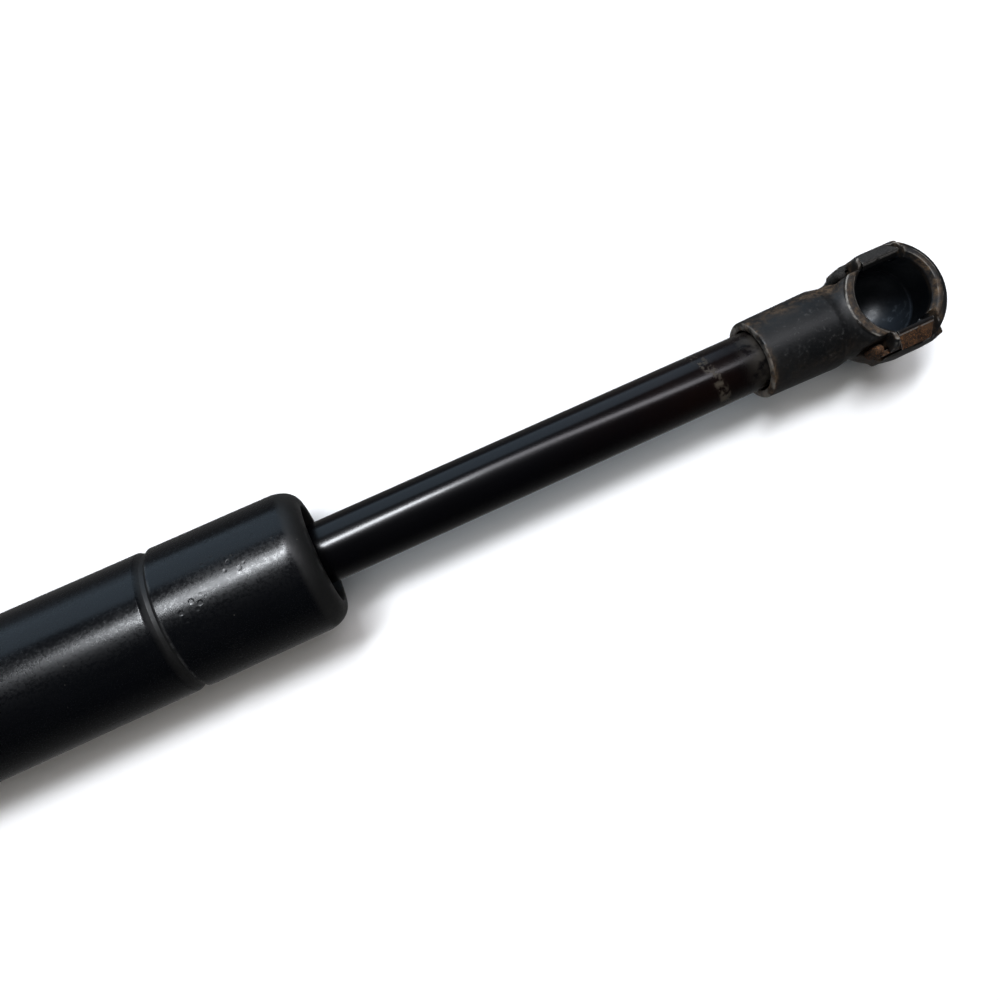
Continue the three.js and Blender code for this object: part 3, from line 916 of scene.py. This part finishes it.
def add_sockets():
    """Both ends carry the same socket and clip; the tube's end is turned half round."""
    coarse = 1.0
    socket_low = (NECK_MOUTH - 0.5, -10.4, -9.4)
    socket = net_mesh(socket_field, socket_low, (9.9, 10.4, 7.5), 0.16 * coarse)
    clip = net_mesh(clip_field, (-7.2, -9.8, 0.6), (9.9, 9.8, 7.2), 0.11 * coarse)
    # The last function of each look gives the "inside" attribute: painted shade, and on the socket
    # also painted light on its seat.
    looks = (
        ("socket", socket, socket_wear_and_highlight, socket_dirt, socket_painted_shade),
        ("socket_clip", clip, clip_wear, clip_dirt, clip_painted_shade),
    )
    for end, turn in (("rod", 1), ("tube", -1)):
        centre = np.array(MOUNTS[f"{end}_ball_seat"])
        for part, (points, faces, edge), wear, dirt, inside in looks:
            placed = points * np.array([turn, turn, 1]) + centre
            piece = make_piece(f"{end}_{part}", placed, faces.tolist())
            add_attribute(piece, "edge", wear(points, edge))
            add_attribute(piece, "dirt", dirt(points))
            add_attribute(piece, "inside", inside(points))


# ------------------------------------------------------------------ tube, rod and end parts


def turned_attribute(piece, name, value_at):
    """An attribute of a turned piece, from a function of (x, radius) in millimetres."""
    points = np.array([v.co for v in piece.data.vertices]) / MM
    radius = np.hypot(points[:, 1], points[:, 2])
    add_attribute(piece, name, value_at(points[:, 0], radius))


def with_guards(outline):
    """The closed outline with points added near both ends of its long straight runs.

    They keep the shading of a rounded corner from spreading over the flat beside it.
    """
    reach = 0.5
    guarded = []
    for here, after in zip(outline, outline[1:] + outline[:1]):
        here, after = np.array(here), np.array(after)
        run = np.linalg.norm(after - here)
        guarded.append(here)
        if run > 3 * reach:
            guarded.append(here + (after - here) * reach / run)
            guarded.append(after - (after - here) * reach / run)
    return guarded


# Sizes of the tube in millimetres. Depths are from the end of the tube.
TUBE_LOW, TUBE_HIGH = box_mm("pressure_tube")
TUBE_R = TUBE_HIGH.y
WALL = 1.25
BORE_R = TUBE_R - WALL
LIP_R = 8.15
LIP_DEPTH = 1.6
BORE_DEPTH = 5.0
CREST_R = 8.7
ROLL_LENGTH = 4.1
GROOVE_FRONT = 23.3
GROOVE_BACK = 25.3
GROOVE_SINK = 0.55


def rolled_end():
    """Corners of one tube end rolled inwards, as (depth from the end, radius, rounding)."""
    steps = 20
    outside = []
    for step in range(steps):
        t = math.pi / 2 * step / steps
        depth = ROLL_LENGTH * (1 - math.sin(t))
        radius = CREST_R + (TUBE_R - CREST_R) * math.cos(t)
        outside.append((depth, radius, 0))
    inside = [(0, LIP_R, 0.5), (LIP_DEPTH, LIP_R, 0.5), (BORE_DEPTH, BORE_R, 1.0)]
    return outside + [(0, CREST_R, 0)] + inside


def groove(surface_r):
    """The rolled groove from front to back: a crisp front lip, a flat floor and a slanted back."""
    return [
        (GROOVE_FRONT, surface_r, 0.12),
        (GROOVE_FRONT + 0.45, surface_r - GROOVE_SINK, 0.2),
        (GROOVE_BACK - 0.9, surface_r - GROOVE_SINK, 0.3),
        (GROOVE_BACK, surface_r, 0.4),
    ]


def add_tube():
    """The tube's wall as one closed outline: both rolled ends, with the groove near the front."""
    length = TUBE_HIGH.x - TUBE_LOW.x
    back = [(length - depth, radius, rounding) for depth, radius, rounding in rolled_end()]
    corners = groove(TUBE_R) + back + groove(BORE_R)[::-1] + rolled_end()[::-1]
    outline = [(TUBE_HIGH.x - depth, radius) for depth, radius in rounded(corners, closed=True)]
    tube = turned("pressure_tube", with_guards(outline), 192)

    def edge(x, radius):
        depth = TUBE_HIGH.x - x
        end = np.minimum(depth, length - depth)
        # Painted highlights: on the crests of the rolled ends, which are also worn, and along the
        # groove's front lip.
        crest_wear_and_highlight = 0.8 * near(end, 0, 0.5)
        lip_highlight = near(depth, GROOVE_FRONT, 0.22) * (radius > TUBE_R - 0.2)
        return np.clip(crest_wear_and_highlight + lip_highlight, 0, 1)

    def rolled(x, radius):
        depth = TUBE_HIGH.x - x
        end = np.minimum(depth, length - depth)
        in_groove = (depth > GROOVE_FRONT) * (depth < GROOVE_BACK - 0.1)
        return np.maximum(np.clip((ROLL_LENGTH - 0.9 - end) / 0.8, 0, 1), in_groove)

    turned_attribute(tube, "edge", edge)
    turned_attribute(tube, "rolled", rolled)


def add_rod():
    """Rod with a thin tail through the piston and a thinner front end in its socket's thread."""
    low, high = box_mm("piston_rod")
    rod_r = high.y
    tail_r = 3.0
    front_r = 4.0
    piston_stop = TUBE_HIGH.x - 30.1
    recess = box_mm("rod_socket")[0].x + 2.7
    corners = [
        (low.x, tail_r - 0.4, 0),
        (low.x + 0.4, tail_r, 0.2),
        (piston_stop, tail_r, 0.2),
        (piston_stop, rod_r, 0.5),
        (recess, rod_r, 0.5),
        (recess, front_r, 0.3),
        (high.x - 0.5, front_r, 0.2),
        (high.x, front_r - 0.5, 0),
    ]
    turned("piston_rod", rounded(corners, closed=False), 128, closed=False)


def add_front_washer():
    """Rusty washer just inside the rolled mouth, dished towards the rod."""
    low, high = box_mm("front_washer")
    hole_r = 5.5
    dish = 0.35
    corners = [
        (low.x, hole_r, 0.2),
        (low.x, high.y, 0.3),
        (high.x, high.y, 0.4),
        (high.x - dish, hole_r, 0.3),
    ]
    washer = turned("front_washer", rounded(corners, closed=True), 96)
    turned_attribute(washer, "edge", lambda x, radius: 0.3 * (radius < 6))


def add_end_stud():
    """Threaded stud through the tube's end plug; its threads are rings of the same pitch."""
    low, high = box_mm("end_stud")
    pitch = 1.25
    crest_r = 3.98
    root_r = 3.35
    head = high.x - 1.4
    corners = [(low.x, 3.3, 0), (low.x + 0.6, 3.95, 0)]
    for turn in range(int((head - low.x - 1.5) / pitch)):
        start = low.x + 1 + turn * pitch
        corners += [(start, crest_r, 0.05), (start + 0.5 * pitch, root_r, 0.1)]
    corners += [(head, crest_r, 0.1), (head, high.y, 0.2), (high.x, high.y, 0.3), (high.x, 2, 0)]
    turned("end_stud", rounded(corners, closed=False, steps=2), 64, closed=False)


# ------------------------------------------------------------------ studio


def add_floor():
    """A wide sheet of pale paper under the strut, which its gloss does not mirror."""
    reach = 3.0
    mesh = bpy.data.meshes.new("floor")
    signs = ((-1, -1), (1, -1), (1, 1), (-1, 1))
    corners = [(x * reach, y * reach, cad_low.z) for x, y in signs]
    mesh.from_pydata(corners, [], [(0, 1, 2, 3)])
    mesh.materials.append(floor_paper())
    floor = bpy.data.objects.new("floor", mesh)
    bpy.context.scene.collection.objects.link(floor)
    floor.visible_glossy = False


def add_softbox(name, toward, distance, size, power, colour, in_gloss=True):
    """A flat soft light that stands in the direction toward from the view's middle and faces it."""
    middle = Vector((TUBE_HIGH.x + 15, 0, 0)) * MM
    data = bpy.data.lights.new(name, "AREA")
    data.shape = "RECTANGLE"
    data.size, data.size_y = size
    data.energy = power
    data.color = colour
    light = bpy.data.objects.new(name, data)
    bpy.context.scene.collection.objects.link(light)
    light.location = middle + Vector(toward).normalized() * distance
    light.rotation_mode = "QUATERNION"
    light.rotation_quaternion = Vector(toward).to_track_quat("Z", "Y")
    light.visible_glossy = in_gloss


def add_lights():
    """A long key light and its dim spill, a blue side panel and a broad fill."""
    cool = (0.93, 0.96, 1.0)
    violet = (0.95, 0.94, 1.0)
    blue = (0.64, 0.82, 1.0)
    warm = (1.0, 0.97, 0.93)
    add_softbox("key_softbox", (-0.17, 0.335, 1.0), 1.05, (0.50, 0.14), 9.5, cool)
    add_softbox("key_spill", (0.36, 0.335, 1.0), 1.15, (0.85, 0.15), 3.1, violet)
    add_softbox("side_panel", (-0.1, 0.92, 0.30), 1.2, (1.8, 1.0), 6.5, blue)
    add_softbox("overhead_fill", (0.0, 0.05, 1.0), 1.6, (1.8, 1.8), 13.5, warm, in_gloss=False)


def add_world():
    """A room for the gloss to mirror: bright straight below, and dark just over the horizon."""
    world = bpy.data.worlds.new("studio")
    world.use_nodes = True
    nodes = world.node_tree.nodes
    links = world.node_tree.links
    place = nodes.new("ShaderNodeTexCoord")
    parts = nodes.new("ShaderNodeSeparateXYZ")
    links.new(place.outputs["Generated"], parts.inputs[0])
    height = nodes.new("ShaderNodeMapRange")
    links.new(parts.outputs["Z"], height.inputs["Value"])
    height.inputs["From Min"].default_value = -0.9
    height.inputs["From Max"].default_value = 0.15
    height.inputs["To Min"].default_value = 4.5
    height.inputs["To Max"].default_value = 0.03
    links.new(height.outputs["Result"], nodes["Background"].inputs["Strength"])
    bpy.context.scene.world = world


def set_tones():
    """Plain display colours, with the darker tones lowered a little."""
    view = bpy.context.scene.view_settings
    view.view_transform = "Standard"
    view.gamma = 0.88


add_camera()
finish_cad_nodes()
add_tube()
add_rod()
add_front_washer()
add_end_stud()
add_sockets()
add_floor()
add_lights()
add_world()
set_tones()
